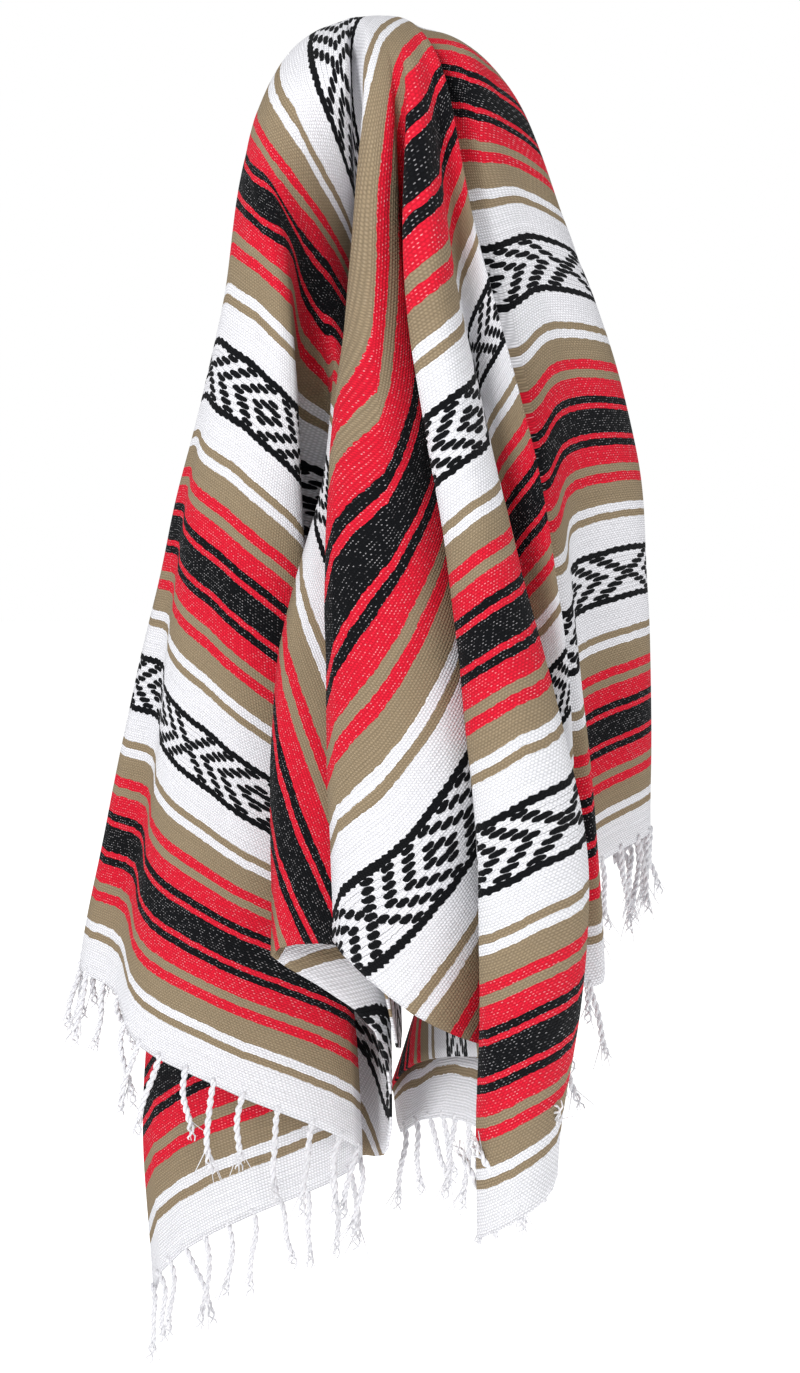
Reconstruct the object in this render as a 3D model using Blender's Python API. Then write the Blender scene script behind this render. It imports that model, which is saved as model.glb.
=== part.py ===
"""A Mexican serape: one striped woven blanket held up at a point near its middle, with fringe at both ends.

The cloth is a rectangle. Its place on the flat is (along, across), measured from the hang point: `along` runs
with the warp towards the second fringed end, `across` towards the front selvedge. Each fold of the hanging
cloth is a ray on the flat that leaves the hang point at a bearing, and FOLDS says where each ray hangs.
Metres, +Z up, -Y towards the viewer. The origin is the underside of the crown, where the blanket is held.
"""

import bpy
import numpy as np
from collections import namedtuple

# the flat blanket
STRIPE_REPEAT = 0.321
BLANKET_LENGTH = 5.86 * STRIPE_REPEAT
BLANKET_WIDTH = 1.27
FRONT_REACH = 0.93                              # hang point to the front selvedge
BACK_REACH = BLANKET_WIDTH - FRONT_REACH        # hang point to the back selvedge
END_REACH = BLANKET_LENGTH / 2                  # hang point to either fringed end
WALL = 0.003                                    # thickness of the weave
SEAM_GAP = 0.0003                               # between neighbouring stretches
HEADING = 0.008                                 # woven heading that the fringe is rooted in

# bearings of the four corners, in degrees from the front selvedge
FRONT_CORNER = float(np.degrees(np.arctan2(END_REACH, FRONT_REACH)))
BACK_CORNER = float(np.degrees(np.arctan2(END_REACH, -BACK_REACH)))

# the crown: a rounded dome under the cloth
DOME_RADIUS = 0.122
DOME_HEIGHT = 0.120
DOME_SQUARENESS = 2.3                           # 2 is a plain ellipse; more has squarer shoulders
HANG_POINT = np.array((-0.031, 0.0))            # the hang point's place in plan
CROWN_TURN = -12.0                              # how far the bearings are turned in plan at its top, degrees
# lower on the crown: the plan way, in degrees from the front, that each bearing hangs in
CROWN_WAYS = ((-180, -191), (-60, -90), (-10, -9.5), (8, 0), (27, 9), (38, 16), (61, 37), (94, 44), (128, 51),
              (138, 66), (143, 86), (149, 98), (168, 145), (183, 170), (300, 270))
CROWN_STRAIGHT = 0.96                           # straight distance across the crown, as a share of the cloth
CREASE_FALL = 0.03                              # how much lower the crown's deep crease hangs
CROWN_INNER = 0.06                              # distances from the hang point of two crown stations
CROWN_OUTER = 0.13
CROWN_SPREAD = 0.70                             # the outer one's plan, as a share of the shoulder's
CROWN_FALL = 0.30                               # its drop, as a share of the shoulder's
CROWN_PLEATED = 0.03                            # how much of the shoulder's folds it already has

# the stations down each fold, as distances along the cloth from the hang point
SHOULDER, CHEST, WAIST, FOOT = 0.28, 0.52, 0.76, 1.00
MIDDLE = 0.64
BEYOND = 1.40

# One row for each fold line, from the left corner at the back round the front to the back again.
# Its bearing on the crown, at the shoulder, the middle and the foot (degrees); slack at the shoulder and the
# foot (length along the cloth less drop); plan x, y at the shoulder, chest, waist and foot. Then, where they
# differ, how far it is tucked in under the crown and its plan x, y beyond the foot.
Fold = namedtuple("Fold", "name crown top mid low slack_top slack_low x1 y1 x2 y2 x3 y3 x4 y4 tuck x5 y5",
                  defaults=(0, None, None))
FC, BC = FRONT_CORNER, BACK_CORNER
FOLDS = [Fold(*row) for row in (
    ("left_back_corner", -BC, -BC, -BC, -BC, .06, .11, -.118, .080, -.136, .115, -.150, .150, -.190, .170),
    ("left_back_crest", -99, -99, -99, -99, .04, .11, -.143, .040, -.174, .080, -.206, .105, -.250, .120),
    ("left_back_valley", -89, -89, -89, -90, .05, .11, -.134, .018, -.156, .050, -.205, .060, -.262, .060),
    ("left_edge", -70, -70, -74, -77, .02, .10, -.148, -.010, -.200, .002, -.248, .005, -.286, .000),
    ("left_pleat_valley", -66, -66, -70, -73, .03, .10, -.142, -.024, -.186, -.014, -.214, -.006,
     -.248, -.020),
    ("left_pleat_crest", -62, -63, -67, -70, .03, .08, -.132, -.034, -.181, -.030, -.201, -.040,
     -.226, -.040),
    ("left_panel", -56, -58, -58, -64.5, .03, .08, -.114, -.045, -.136, -.055, -.141, -.060, -.146, -.060),
    ("left_crest", -52, -51, -49, -57, .03, .07, -.090, -.050, -.073, -.048, -.054, -.045, -.026, -.020),
    ("left_return", -43, -42, -44.5, -FC, .06, .09, -.084, -.030, -.104, .002, -.142, .032, -.226, .085),
    ("return_turn", -40, -37, -42.5, -43.8, .06, .10, -.079, -.018, -.096, .024, -.130, .052, -.214, .105),
    ("inner_crest", -36, -33, -40, -38.8, .06, .11, -.071, -.008, -.041, .030, -.030, .050, -.030, .055),
    ("inner_column", -34.5, -32, -39.2, -36.8, .06, .11, -.066, -.003, -.038, .000, -.016, -.002, .000, .000),
    ("sash_wall", -33, -31, -38.5, -34.5, .06, .19, -.061, .002, -.037, -.028, -.020, -.045, -.010, -.050),
    ("sash_crest", -30, -29.5, -37, -31.5, .06, .235, -.053, .010, -.052, -.054, -.091, -.100, -.096, -.095),
    ("sash_front", -22, -26, -29, -26, .06, .205, -.043, .026, -.022, -.062, -.021, -.112, -.021, -.105),
    ("inner_flap", 6, -19, -18, -19, .07, .05, -.034, .050, -.008, .030, .004, .010, .014, -.030),
    ("deep_left", 11, -9, -9, -8, .08, .10, -.022, .074, .010, .118, .015, .128, .016, .128, .28),
    ("deep_left_turn", 19, -4, -4, -3, .08, .10, -.004, .070, .028, .116, .034, .126, .035, .126, .25),
    ("deep_return", 23, 5, 4, 7, .06, .13, -.012, -.010, .012, -.060, .025, -.100, .028, -.090, .12),
    ("centre_crest", 27.5, 17.2, 13.5, 18.5, .045, .18, -.030, -.070, -.046, -.105, -.046, -.145,
     -.041, -.140),
    ("centre_panel", 32, 19.5, 18.5, 22.5, .035, .150, -.011, -.092, .004, -.135, .016, -.170, .024, -.165),
    ("centre_right", 38.5, 25, 23.3, 26.5, .045, .140, .014, -.078, .050, -.105, .080, -.138, .089, -.130),
    ("deep_right_turn", 40.5, 30, 36, 42, .07, .20, .017, -.040, .060, .050, .074, .060,
     .062, .072, 0, -.030, .082),
    ("deep_right_back", 42.5, 33.5, 38, 43.6, .07, .21, .030, -.042, .076, .050, .091, .060,
     .076, .074, 0, -.022, .090),
    ("deep_right", 44.5, 37, 40.5, FC, .065, .21, .036, -.058, .081, .018, .099, .020,
     .088, .045, 0, -.004, .058),
    ("front_wall", 46, 41, 49, 57, .045, .09, .036, -.078, .089, -.065, .116, -.095, .119, -.095),
    ("front_left", 47.5, 46.5, 56, 63.5, .03, .022, .019, -.118, .054, -.155, .078, -.190, .076, -.190),
    ("front_panel", 49.5, 50, 60, 66.5, .03, .022, .042, -.128, .082, -.175, .122, -.205, .109, -.205),
    ("front_right", 52, 54.5, 63.5, 69, .03, .018, .060, -.100, .112, -.148, .166, -.168, .142, -.160),
    ("front_back", 56, 61, 68, 73, .045, .05, .064, -.055, .104, -.080, .134, -.090, .124, -.085),
    ("second_crest", 61, 74, 77, 80, .06, .07, .084, -.068, .140, -.095, .164, -.090, .156, -.080),
    ("second_valley", 94, 86, 81, 82, .085, .07, .073, -.018, .118, -.032, .146, -.030, .144, -.030, .28),
    ("third_crest", 128, 98, 85, 85, .09, .07, .098, -.022, .150, -.016, .184, -.030, .200, -.030),
    ("third_valley", 138, 107, 89, 87, .105, .13, .128, .004, .172, .022, .178, .045, .179, .050),
    ("right_edge", 143, 110, 98, 97, .108, .180, .174, .060, .249, .110, .267, .130, .269, .135),
    ("right_back_corner", 149, 118, 112, BC, .112, .178, .164, .110, .219, .165, .236, .190, .242, .200),
    ("back_right", 157, 136, 130, 128, .11, .12, .112, .138, .124, .190, .114, .205, .114, .205),
    ("back_mid_right", 168, 156, 153, 152, .09, .10, .058, .147, .064, .195, .064, .195, .064, .195),
    ("back_middle", 182, 180, 180, 180, .08, .09, -.001, .145, -.001, .170, -.001, .170, -.001, .170),
    ("back_mid_left", 208, 208, 208, 208, .07, .09, -.054, .140, -.046, .178, -.046, .185, -.046, .185),
    ("back_left", 232, 232, 232, 232, .07, .11, -.090, .118, -.086, .165, -.076, .185, -.076, .185),
    ("back_left_side", 241, 241, 241, 241, .065, .11, -.106, .101, -.112, .144, -.112, .172, -.112, .172),
)]
ROW = {fold.name: index for index, fold in enumerate(FOLDS)}
COUNT = len(FOLDS)

# the corners where a fringed end begins and where it stops, going round
FIRST_CORNERS = ("left_back_corner", "deep_right")
LAST_CORNERS = ("left_return", "right_back_corner")

# how finely the cloth is divided
COLUMNS_PER_FOLD = 3
RINGS = 26
CROWN_RINGS = 2                                 # rings that belong to the crown disc
RING_POWER = 1.12                               # closer rings near the crown

# fringe
LOCK_SPACING = 0.028
LOCK_WIDTH = 0.004
LOCK_LENGTH = 0.075
ROOT_CLEAR = 0.001                              # a lock's root keeps this far from a fold line
LOCK_LEVELS = ((0.28, 0.35, 1.00), (0.65, 0.75, 0.85), (1.00, 1.00, 0.35))   # share of length, droop, size


def smooth_through(knots, values, at, start_slope=None, end_slope=None):
    """A soft curve through (knot, value) pairs, read at each place in `at`."""
    knots = np.asarray(knots, float)
    values = np.asarray(values, float)
    step = np.diff(knots)
    rise = np.diff(values) / step
    slope = np.zeros(len(knots))
    slope[1:-1] = (rise[:-1] * step[1:] + rise[1:] * step[:-1]) / (step[:-1] + step[1:])
    slope[0] = rise[0] if start_slope is None else start_slope
    slope[-1] = rise[-1] if end_slope is None else end_slope
    piece = np.clip(np.searchsorted(knots, at, side="right") - 1, 0, len(step) - 1)
    t = (at - knots[piece]) / step[piece]
    left = (2 * t**3 - 3 * t**2 + 1) * values[piece] + (t**3 - 2 * t**2 + t) * step[piece] * slope[piece]
    right = (3 * t**2 - 2 * t**3) * values[piece + 1] + (t**3 - t**2) * step[piece] * slope[piece + 1]
    return left + right


def dome_fall(distance):
    """Drop of the dome's surface below its top at a distance from its axis."""
    share = np.clip(distance / DOME_RADIUS, 0.0, 0.995)
    return DOME_HEIGHT * (1 - (1 - share**DOME_SQUARENESS) ** (1 / DOME_SQUARENESS))


def on_dome(bearing, length):
    """Plan place and drop of a point on the dome, `length` along the cloth from the hang point."""
    lower_way = np.interp(bearing, *zip(*CROWN_WAYS))
    low_share = length / CROWN_OUTER
    turned = np.radians((bearing + CROWN_TURN) * (1 - low_share) + lower_way * low_share)
    heading = np.array((np.sin(turned), -np.cos(turned)))
    low, high = 0.0, length
    for _ in range(24):
        reach = (low + high) / 2
        place = HANG_POINT + reach * heading
        fall = dome_fall(np.hypot(*place))
        if np.hypot(reach, fall) > CROWN_STRAIGHT * length:
            high = reach
        else:
            low = reach
    return place, fall


def bearing_at(fold, length):
    """The ray's bearing on the flat, which wanders a little down the fold."""
    stations = (0.0, CROWN_OUTER, SHOULDER, MIDDLE, FOOT, BEYOND)
    bearings = (fold.crown, fold.crown, fold.top, fold.mid, fold.low, fold.low)
    return smooth_through(stations, bearings, length, 0.0, 0.0)


def hanging_ray(fold, length):
    """Points of one fold line at each distance along the cloth."""
    inner, inner_fall = on_dome(fold.crown, CROWN_INNER)
    outer, outer_fall = on_dome(fold.crown, CROWN_OUTER)
    shoulder = np.array((fold.x1, fold.y1))
    spread = HANG_POINT + CROWN_SPREAD * (shoulder - HANG_POINT)
    outer = outer * (1 - CROWN_PLEATED) + spread * CROWN_PLEATED
    outer = outer + (HANG_POINT - outer) * fold.tuck
    fall_rate = (fold.slack_low - fold.slack_top) / (FOOT - SHOULDER)
    drops = [station - fold.slack_top - fall_rate * (station - SHOULDER)
             for station in (SHOULDER, CHEST, WAIST, FOOT, BEYOND)]
    outer_fall = outer_fall * (1 - CROWN_PLEATED) + CROWN_FALL * drops[0] * CROWN_PLEATED
    outer_fall += CREASE_FALL * fold.tuck
    knots = (0.0, CROWN_INNER, CROWN_OUTER, SHOULDER, CHEST, WAIST, FOOT, BEYOND)
    beyond = (fold.x4, fold.y4) if fold.x5 is None else (fold.x5, fold.y5)
    xs = (HANG_POINT[0], inner[0], outer[0], fold.x1, fold.x2, fold.x3, fold.x4, beyond[0])
    ys = (HANG_POINT[1], inner[1], outer[1], fold.y1, fold.y2, fold.y3, fold.y4, beyond[1])
    falls = (dome_fall(np.hypot(*HANG_POINT)), inner_fall, outer_fall, *drops)
    return np.stack((smooth_through(knots, xs, length),
                     smooth_through(knots, ys, length),
                     WALL / 2 - smooth_through(knots, falls, length)), axis=-1)


def reach_of(bearing):
    """Distance on the flat from the hang point to the blanket's edge."""
    angle = np.radians(bearing)
    across, along = np.cos(angle), abs(np.sin(angle))
    edge = FRONT_REACH / across if across > 0 else BACK_REACH / max(-across, 1e-9)
    return min(edge, END_REACH / max(along, 1e-9))


def between(p, share):
    """A point a share of the way from p[1] to p[2], on a soft curve through the four points."""
    gap = [np.maximum(np.linalg.norm(p[i + 1] - p[i], axis=-1), 1e-5)[:, None] ** 0.5 for i in range(3)]
    t0, t1 = 0.0, gap[0]
    t2 = t1 + gap[1]
    t3 = t2 + gap[2]
    t = t1 + (t2 - t1) * share
    a1 = (t1 - t) / (t1 - t0) * p[0] + (t - t0) / (t1 - t0) * p[1]
    a2 = (t2 - t) / (t2 - t1) * p[1] + (t - t1) / (t2 - t1) * p[2]
    a3 = (t3 - t) / (t3 - t2) * p[2] + (t - t2) / (t3 - t2) * p[3]
    b1 = (t2 - t) / (t2 - t0) * a1 + (t - t0) / (t2 - t0) * a2
    b2 = (t3 - t) / (t3 - t1) * a2 + (t - t1) / (t3 - t1) * a3
    return (t2 - t) / (t2 - t1) * b1 + (t - t1) / (t2 - t1) * b2


def column(index):
    """Points of the cloth from the crown to its edge, with their bearing and distance on the flat."""
    row, part = divmod(index, COLUMNS_PER_FOLD)
    share = part / COLUMNS_PER_FOLD
    here, following = FOLDS[row % COUNT], FOLDS[(row + 1) % COUNT]
    turn = 360.0 if row % COUNT == COUNT - 1 else 0.0

    def bearing(length):
        return bearing_at(here, length) * (1 - share) + (bearing_at(following, length) + turn) * share

    low, high = 0.2, BEYOND
    for _ in range(40):
        middle = (low + high) / 2
        if middle > reach_of(bearing(np.array([middle]))[0]):
            high = middle
        else:
            low = middle
    lengths = ring_lengths(low)
    four = [hanging_ray(FOLDS[(row + step) % COUNT], lengths) for step in (-1, 0, 1, 2)]
    return between(four, share) if part else four[1], bearing(lengths), lengths


def ring_lengths(reach):
    """Distances of the rings down a column `reach` long; the last two are the fringe's heading apart."""
    shares = np.linspace(0.0, 1.0, RINGS) ** RING_POWER
    near = min(reach, FOOT)
    lengths = shares * (near + (reach - near) * shares**2)
    return np.append(lengths * (1 - HEADING / END_REACH), reach)


WOVEN = [column(index) for index in range(COUNT * COLUMNS_PER_FOLD)]
POINTS = np.array([points for points, _, _ in WOVEN])
BEARINGS = np.array([bearings for _, bearings, _ in WOVEN])
LENGTHS = np.array([lengths for _, _, lengths in WOVEN])
COLUMNS, LEVELS = POINTS.shape[:2]


def unit(vector):
    return vector / np.maximum(np.linalg.norm(vector, axis=-1, keepdims=True), 1e-12)


def outward_normals():
    """A normal for each point of the cloth, out of its top face."""
    round_way = np.roll(POINTS, -1, axis=0) - np.roll(POINTS, 1, axis=0)
    down_way = np.gradient(POINTS, axis=1)
    normals = unit(np.cross(down_way, round_way))
    normals[:, 0] = (0.0, 0.0, 1.0)
    return normals


NORMALS = outward_normals()


def make_object(name, vertices, faces, colour):
    mesh = bpy.data.meshes.new(name)
    mesh.from_pydata([tuple(map(float, v)) for v in vertices], [], faces)
    mesh.validate()
    material = bpy.data.materials.new(name)
    material.use_nodes = True
    shader = material.node_tree.nodes["Principled BSDF"]
    shader.inputs["Base Color"].default_value = (*colour, 1.0)
    shader.inputs["Roughness"].default_value = 0.9
    mesh.materials.append(material)
    for polygon in mesh.polygons:
        polygon.use_smooth = True
    made = bpy.data.objects.new(name, mesh)
    bpy.context.scene.collection.objects.link(made)
    return made


def vertex_key(index, ring):
    """Every column meets at the hang point, so ring 0 is one point."""
    return (0, 0) if ring == 0 else (index % COLUMNS, ring)


def stretch(name, first, last, colour, fringed=False, with_crown=False):
    """The cloth between two fold lines, as a closed wall, kept a seam gap from its neighbours.
    A fringed one stops short of its hem, where the fringe's heading begins."""
    start, stop = ROW[first] * COLUMNS_PER_FOLD, ROW[last] * COLUMNS_PER_FOLD
    if stop <= start:
        stop += COLUMNS
    lowest = LEVELS - 2 if fringed else LEVELS - 1
    cells = [(index, ring) for index in range(start, stop) for ring in range(CROWN_RINGS, lowest)]
    if with_crown:
        cells += [(index, ring) for index in range(COLUMNS) for ring in range(CROWN_RINGS)]
    panels = []
    for index, ring in cells:
        corners = [vertex_key(index, ring), vertex_key(index, ring + 1),
                   vertex_key(index + 1, ring + 1), vertex_key(index + 1, ring)]
        panels.append(list(dict.fromkeys(corners)))
    return wall_of(name, panels, colour)


def wall_of(name, panels, colour):
    """A wall on both sides of the panels, closed round every open edge."""
    edges = {}
    for panel in panels:
        for a, b in zip(panel, panel[1:] + panel[:1]):
            edges[(a, b)] = panel
    rim = [(a, b) for (a, b) in edges if (b, a) not in edges]
    places = {key: POINTS[key] for panel in panels for key in panel}
    for key, shift in seam_shifts(rim, panels).items():
        places[key] = places[key] + shift
    number = {key: index for index, key in enumerate(places)}
    top = [places[key] + NORMALS[key] * WALL / 2 for key in places]
    under = [places[key] - NORMALS[key] * WALL / 2 for key in places]
    faces = []
    under_side = len(places)
    for panel in panels:
        for corners in halves_of(panel):
            faces.append([number[key] for key in corners])
            faces.append([number[key] + under_side for key in reversed(corners)])
    for a, b in rim:
        first, second = number[a], number[b]
        split = second if earlier(a, b) else first
        faces += [[second, first, split + under_side],
                  [second if split == first else first, first + under_side, second + under_side]]
    return make_object(name, top + under, faces, colour)


def halves_of(panel):
    """The triangles of a panel, split over its shorter diagonal so that both sides of the wall bend alike."""
    if len(panel) == 3:
        return [panel]
    a, b, c, d = panel
    if np.linalg.norm(POINTS[a] - POINTS[c]) < np.linalg.norm(POINTS[b] - POINTS[d]):
        return [[a, b, c], [a, c, d]]
    return [[a, b, d], [b, c, d]]


def earlier(a, b):
    """Which end of an open edge the rim is split from, the same for both stretches that meet at it."""
    if a[1] != b[1]:
        return a[1] < b[1]
    return (b[0] - a[0]) % COLUMNS == 1


def seam_shifts(rim, panels):
    """How far each rim point that faces another stretch moves in, so that a gap is left between the two."""
    seam_columns = {ROW[corner] * COLUMNS_PER_FOLD for corner in FIRST_CORNERS + LAST_CORNERS}
    centres = {}
    for panel in panels:
        middle = sum(POINTS[key] for key in panel) / len(panel)
        for key in panel:
            centres.setdefault(key, []).append(middle)
    shifts = {}
    for a, b in rim:
        if a[1] == b[1] == LEVELS - 1:
            continue
        if a[1] != b[1] and a[0] not in seam_columns:
            continue
        tangent = unit(POINTS[b] - POINTS[a])
        for key in (a, b):
            inward = sum(centres[key]) / len(centres[key]) - POINTS[key]
            inward = unit(inward - tangent * np.dot(inward, tangent))
            known = [unit(s) for s in shifts.get(key, [])]
            if all(np.dot(inward, s) < 0.9 for s in known):
                shifts.setdefault(key, []).append(inward * SEAM_GAP / 2)
    return {key: sum(parts) for key, parts in shifts.items()}


def along_warp(index):
    """The warp's direction off the end of the cloth at this column, square to the hem."""
    ring = LEVELS - 1
    outward = POINTS[index, ring] - POINTS[index, ring - 2]
    at_corner = [index % COLUMNS in [ROW[corner] * COLUMNS_PER_FOLD for corner in corners]
                 for corners in (FIRST_CORNERS, LAST_CORNERS)]
    behind = index if at_corner[0] else (index - 1) % COLUMNS
    ahead = index if at_corner[1] else (index + 1) % COLUMNS
    hem = unit(POINTS[ahead, ring] - POINTS[behind, ring])
    return unit(outward - hem * np.dot(outward, hem))


def fringe(name, first, last, colour):
    """The knotted locks at one end, rooted in the narrow heading along the hem."""
    columns = range(ROW[first] * COLUMNS_PER_FOLD, ROW[last] * COLUMNS_PER_FOLD + 1)
    hem = LEVELS - 1
    across = [LENGTHS[i, hem] * np.cos(np.radians(BEARINGS[i, hem])) for i in columns]
    backwards = across[0] > across[-1]
    order = np.argsort(across)
    across = np.array(across)[order]

    def read(values, at):
        values = np.array(values)[order]
        return np.array([np.interp(at, across, values[:, axis]) for axis in range(3)])

    def hem_corners(at):
        edge, normal = read(lower, at), read(normals, at)
        return [edge + normal * WALL / 2, edge - normal * WALL / 2]

    lower = [POINTS[i % COLUMNS, hem] for i in columns]
    normals = [NORMALS[i % COLUMNS, hem] for i in columns]
    warp = [along_warp(i) for i in columns]
    lock_count = int(BLANKET_WIDTH / LOCK_SPACING)
    middles = across[0] + (np.arange(lock_count) + 0.5) * BLANKET_WIDTH / lock_count
    clear = LOCK_WIDTH / 2 + ROOT_CLEAR
    for k, middle in enumerate(middles):
        nearest = across[np.argmin(abs(across - middle))]
        if abs(middle - nearest) < clear:
            middles[k] = nearest + (clear if middle > nearest else -clear)
    roots = {m - LOCK_WIDTH / 2: m + LOCK_WIDTH / 2 for m in middles}
    cuts = sorted(set(roots) | set(roots.values()) | set(across))
    vertices, faces = [], []
    for cut in cuts:
        vertices += hem_corners(cut)
    tops = {}
    for place, i in zip(across, np.array(columns)[order]):
        top = POINTS[i % COLUMNS, hem - 1]
        top = top + unit(POINTS[i % COLUMNS, hem] - top) * SEAM_GAP / 2
        tops[place] = len(vertices)
        vertices += [top + NORMALS[i % COLUMNS, hem - 1] * WALL / 2,
                     top - NORMALS[i % COLUMNS, hem - 1] * WALL / 2]
    for low, high in zip(across[:-1], across[1:]):
        here = [2 * k for k, cut in enumerate(cuts) if low <= cut <= high]
        a, b = tops[low], tops[high]
        faces.append([a] + here + [b])
        faces.append([b + 1] + [k + 1 for k in reversed(here)] + [a + 1])
        if backwards:
            faces += [[a, b, a + 1], [b, b + 1, a + 1]]
        else:
            faces += [[a, b, b + 1], [a, b + 1, a + 1]]
    for k, cut in enumerate(cuts[:-1]):
        ring = [2 * k, 2 * k + 1, 2 * k + 3, 2 * k + 2]
        if cut not in roots:
            faces.append(ring)
            continue
        middle = cut + LOCK_WIDTH / 2
        heading = unit(read(warp, middle))
        centre = read(lower, middle)
        corners = [vertices[corner] - centre for corner in ring]
        reached = 0.0
        for share, droop, size in LOCK_LEVELS:
            way = unit(heading * (1 - droop) + np.array((0.0, 0.0, -1.0)) * droop)
            centre = centre + way * (share - reached) * LOCK_LENGTH
            reached = share
            following = [len(vertices) + corner for corner in range(4)]
            vertices += [centre + corner * size for corner in corners]
            for side in range(4):
                after = (side + 1) % 4
                faces.append([ring[side], ring[after], following[after], following[side]])
            ring = following
        faces.append(ring)
    last_cut = 2 * (len(cuts) - 1)
    first_top, last_top = tops[across[0]], tops[across[-1]]
    faces += [[first_top, first_top + 1, 1, 0], [last_cut, last_cut + 1, last_top + 1, last_top]]
    if backwards:
        faces = [face[::-1] for face in faces]
    return make_object(name, vertices, faces, colour)


for left_over in list(bpy.data.objects):
    bpy.data.objects.remove(left_over, do_unlink=True)

RED, TAN, WHITE = (0.75, 0.05, 0.07), (0.30, 0.23, 0.15), (0.83, 0.82, 0.86)
stretch("left_stretch", "left_back_corner", "left_return", RED, fringed=True)
stretch("front_stretch", "left_return", "deep_right", TAN)
stretch("right_stretch", "deep_right", "right_back_corner", RED, fringed=True)
stretch("back_stretch", "right_back_corner", "left_back_corner", TAN, with_crown=True)
fringe("first_end_fringe", "left_back_corner", "left_return", WHITE)
fringe("second_end_fringe", "deep_right", "right_back_corner", WHITE)
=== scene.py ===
"""The looks of a hung Mexican serape: one striped blanket with fringe at both ends, held at one point.

The cloth is a flat rectangle before it hangs. `across` runs from the back selvedge towards the front one and
`along` with the warp, from the first fringed end to the second. On the flat, a ray leaves the hang point at a
bearing: 0 points to the front selvedge, 90 to the second end, -90 to the first. Each fold line is such a ray,
and FOLDS says where each one hangs. Metres and degrees, +Z up, -Y towards the viewer.
"""

import math
from collections import namedtuple

import bpy
import numpy as np
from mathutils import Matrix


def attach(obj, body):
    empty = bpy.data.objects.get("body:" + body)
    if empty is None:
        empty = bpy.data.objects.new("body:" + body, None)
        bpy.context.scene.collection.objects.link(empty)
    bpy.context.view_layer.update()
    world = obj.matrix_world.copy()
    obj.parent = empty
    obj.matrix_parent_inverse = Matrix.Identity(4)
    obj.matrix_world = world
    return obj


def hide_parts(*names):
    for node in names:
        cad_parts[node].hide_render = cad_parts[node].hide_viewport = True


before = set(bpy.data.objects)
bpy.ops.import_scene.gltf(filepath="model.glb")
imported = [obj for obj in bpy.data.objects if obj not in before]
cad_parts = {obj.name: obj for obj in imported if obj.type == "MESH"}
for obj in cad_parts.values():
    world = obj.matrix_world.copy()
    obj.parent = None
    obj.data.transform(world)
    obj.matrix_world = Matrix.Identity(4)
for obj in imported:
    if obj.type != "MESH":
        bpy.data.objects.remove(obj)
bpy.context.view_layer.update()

# the flat blanket
STRIPE_REPEAT = 0.321
BLANKET_LENGTH = 5.86 * STRIPE_REPEAT
BLANKET_WIDTH = 1.27
FRONT_REACH = 0.93                              # hang point to the front selvedge
BACK_REACH = BLANKET_WIDTH - FRONT_REACH        # hang point to the back selvedge
END_REACH = BLANKET_LENGTH / 2                  # hang point to either fringed end
WALL = 0.003                                    # wall of the solids, whose middle the shown cloth follows

# bearings of the corners at the second end; those at the first end are the same below zero
FRONT_CORNER = float(np.degrees(np.arctan2(END_REACH, FRONT_REACH)))
BACK_CORNER = float(np.degrees(np.arctan2(END_REACH, -BACK_REACH)))

# the crown: a rounded dome under the cloth
DOME_RADIUS = 0.122
DOME_HEIGHT = 0.120
DOME_SQUARENESS = 2.3                           # 2 is a plain ellipse; more has squarer shoulders
DOME_RIM = 0.995                                # share of the radius past which the dome falls no further
HANG_POINT = np.array((-0.031, 0.0))            # the hang point's place in plan
CROWN_TURN = -12.0                              # how far the bearings are turned in plan at its top, degrees
# lower on the crown: the plan way, in degrees from the front, that each bearing hangs in
CROWN_WAYS = ((-180, -191), (-60, -90), (-10, -9.5), (8, 0), (27, 9), (38, 16), (61, 37), (94, 44), (128, 51),
              (138, 66), (143, 86), (149, 98), (168, 145), (183, 170), (300, 270))
CROWN_STRAIGHT = 0.96                           # straight distance across the crown, as a share of the cloth
CREASE_FALL = 0.03                              # how much lower the crown's deep crease hangs
CROWN_INNER = 0.06                              # distances from the hang point of two crown stations
CROWN_OUTER = 0.13
CROWN_SPREAD = 0.70                             # the outer one's plan, as a share of the shoulder's
CROWN_FALL = 0.30                               # its drop, as a share of the shoulder's
CROWN_PLEATED = 0.03                            # how much of the shoulder's folds it already has

# the stations down each fold, as distances along the cloth from the hang point
SHOULDER, CHEST, WAIST, FOOT = 0.28, 0.52, 0.76, 1.00
MIDDLE = 0.64                                   # where a fold's middle bearing holds
BEYOND = 1.40                                   # past the farthest corner
DOME_HALVINGS = 24                              # times that a search on the dome halves its range
NEAREST_SPACING = 1e-5                          # least distance that `between` allows for two points

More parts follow.
